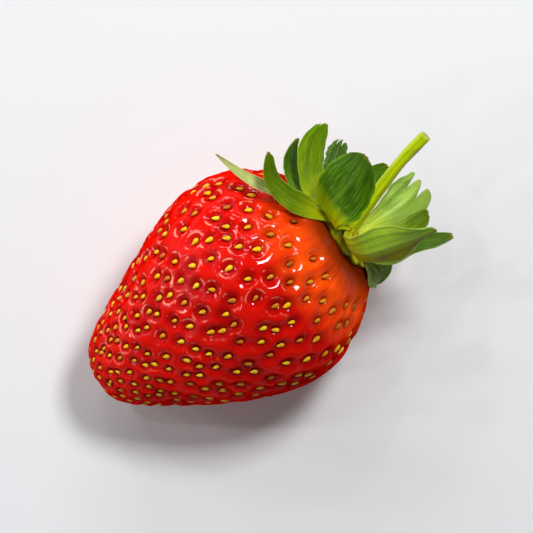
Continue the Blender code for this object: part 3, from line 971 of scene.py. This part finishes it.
def stalkFinish():
    material, tree, shader = newMaterial("stalkGreen", specular=0.12, coat=0.05)
    along, around = attributeNode(tree, "along"), attributeNode(tree, "around")
    mottle = noiseNode(tree, objectPlace(tree, scale=(0.3, 1.0, 1.0)), 900.0, 3.0)
    ridge = rangeNode(tree, around, -0.8, 0.9)
    colour = mixColour(tree, ridge, stalk["groove"], stalk["ridge"])
    spots = rangeNode(tree, mottle, 0.5, 0.8, 0.0, 0.6)
    colour = mixColour(tree, spots, colour, stalk["mottle"])
    colour = mixColour(tree, rangeNode(tree, along, 1.0, 1.015), colour, stalk["cut"])
    feed(tree, shader.inputs["Base Color"], colour)
    feed(tree, shader.inputs["Roughness"], rangeNode(tree, mottle, 0.3, 0.7, 0.34, 0.5))
    feed(tree, shader.inputs["Normal"], bumpNode(tree, mottle, 0.10 * mm, 0.5))
    return material


# Everything is made and put on the frame here.


def settle(piece, slot, *nodes):
    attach(piece, "root")
    if nodes:
        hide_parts(*nodes)


berrySkin, berrySeeds = makeBerry(berrySkinFinish(), seedFinish())
settle(berrySkin, "berry_skin", "berry")
settle(berrySeeds, "seed")
seedPoints = len(seeds["rings"]) * seeds["steps"] + 2  # of one seed: its rings and two poles
print("berry made,", len(berrySeeds.data.vertices) // seedPoints, "seeds")

for name, own in leaves.items():
    leaf = {**plainLeaf, **own}
    height = calyx["sepalHeight" if name.startswith("sepal") else "bractHeight"]
    settle(makeLeaf(name, leaf, height, leafFinish(name, leaf)), "calyx_leaf", name)
print("leaves made,", len(leaves))

settle(makeCalyxBase(buttonFinish()), "calyx_base", "calyx_base")
settle(makeStalk(stalkFinish()), "stalk", "stalk")
print("button and stalk made")


# The studio: a pale floor, a soft lamp above, strips and small glints at the back and the left, and
# the camera overhead.

studio = {
    "viewTurn": math.radians(-30.7),  # of the view's right-hand direction from +X
    "viewWidth": 76.0 * mm,  # of what the view takes in at the shown height
    "shownHeight": 16.0 * mm,
    "lens": 600.0,
    "sensor": 36.0,
    "clip": (0.01, 10.0),
    "floorHalf": 1.5,
    "floorGap": 0.015 * mm,  # under the flat spot, so the two faces don't coincide
    "floorColour": (0.75, 0.76, 0.77),
    "air": (0.11, 0.112, 0.115),
    "lampDistance": 0.6,
    "glintSize": (0.022, 0.022),
    "glintPower": 0.15,
}
right = np.array([math.cos(studio["viewTurn"]), math.sin(studio["viewTurn"]), 0.0])
up = np.array([-right[1], right[0], 0.0])
out = np.array([0.0, 0.0, 1.0])
middle = (np.array(cadBox[0]) + np.array(cadBox[1])) / 2


def makeFloor():
    half, low = studio["floorHalf"], -studio["floorGap"]
    mesh = bpy.data.meshes.new("floor")
    corners = [(-half, -half, low), (half, -half, low), (half, half, low), (-half, half, low)]
    mesh.from_pydata(corners, [], [(0, 1, 2, 3)])
    material, tree, shader = newMaterial("paleFloor", roughness=0.6, specular=0.2)
    feed(tree, shader.inputs["Base Color"], studio["floorColour"])
    mesh.materials.append(material)
    floor = bpy.data.objects.new("floor", mesh)
    bpy.context.scene.collection.objects.link(floor)


def aim(thing, place, target):  # turns a lamp's -Z towards the target
    back = unit(place - target)
    side = unit(np.cross(up if abs(back @ up) < 0.99 else right, back))
    put(thing, side, np.cross(back, side), back, place)


def put(thing, side, over, back, place):  # the directions of its own X, Y and Z axes, and its place
    matrix = np.eye(4)
    matrix[:3, :4] = np.column_stack([side, over, back, place])
    thing.matrix_world = Matrix(matrix.tolist())


# Each large lamp's direction from the berry, as (right, up, towards the camera) in the view, its
# size, its power in watts and its colour; then each glint's direction.
lamps = {
    "keySoftbox": ((0.28, 0.40, 0.87), (0.13, 0.13), 2.6, (1.0, 1.0, 1.0)),
    "backStrip": ((-0.10, 0.90, 0.42), (0.45, 0.05), 1.2, (0.94, 0.94, 1.0)),
    "leftStrip": ((-0.92, 0.24, 0.24), (0.24, 0.030), 0.55, (0.94, 0.94, 1.0)),
}
glints = {
    "leftGlint": (-0.62, 0.16, 0.76),
    "middleGlint": (-0.52, 0.52, 0.67),
    "lowGlint": (-0.72, 0.64, 0.26),
    "backGlint": (-0.32, 0.86, 0.40),
    "sideGlint": (-0.88, 0.34, 0.32),
    "edgeGlint": (-0.96, -0.10, 0.22),
    "cornerGlint": (-0.75, 0.62, 0.14),
    "frontGlint": (-0.80, -0.34, 0.46),
    "upperGlint": (-0.20, 0.60, 0.77),
    "innerGlint": (-0.36, 0.20, 0.91),
    "tipGlint": (-0.62, -0.20, 0.76),
}


def addLamp(name, direction, size, power, colour=(1.0, 1.0, 1.0)):
    lamp = bpy.data.lights.new(name, "AREA")
    lamp.shape = "RECTANGLE"
    lamp.size, lamp.size_y = size
    lamp.energy = power
    lamp.color = colour
    holder = bpy.data.objects.new(name, lamp)
    bpy.context.scene.collection.objects.link(holder)
    way = unit(direction[0] * right + direction[1] * up + direction[2] * out)
    aim(holder, middle + way * studio["lampDistance"], middle)


def addCamera():
    view = bpy.data.cameras.new("camera")
    view.lens, view.sensor_width = studio["lens"], studio["sensor"]
    view.clip_start, view.clip_end = studio["clip"]
    holder = bpy.data.objects.new("camera", view)
    bpy.context.scene.collection.objects.link(holder)
    distance = studio["viewWidth"] * studio["lens"] / studio["sensor"]
    shown = np.array([middle[0], middle[1], studio["shownHeight"]])
    put(holder, right, up, out, shown + out * distance)
    bpy.context.scene.camera = holder


def makeStudio():
    makeFloor()
    for name, lamp in lamps.items():
        addLamp(name, *lamp)
    for name, direction in glints.items():
        addLamp(name, direction, studio["glintSize"], studio["glintPower"])
    world = bpy.data.worlds.new("studioAir")
    world.use_nodes = True
    tree = world.node_tree
    feed(tree, tree.nodes["Background"].inputs["Color"], studio["air"])
    bpy.context.scene.world = world
    addCamera()
    bpy.context.scene.view_settings.view_transform = "Standard"


makeStudio()
print("studio made")
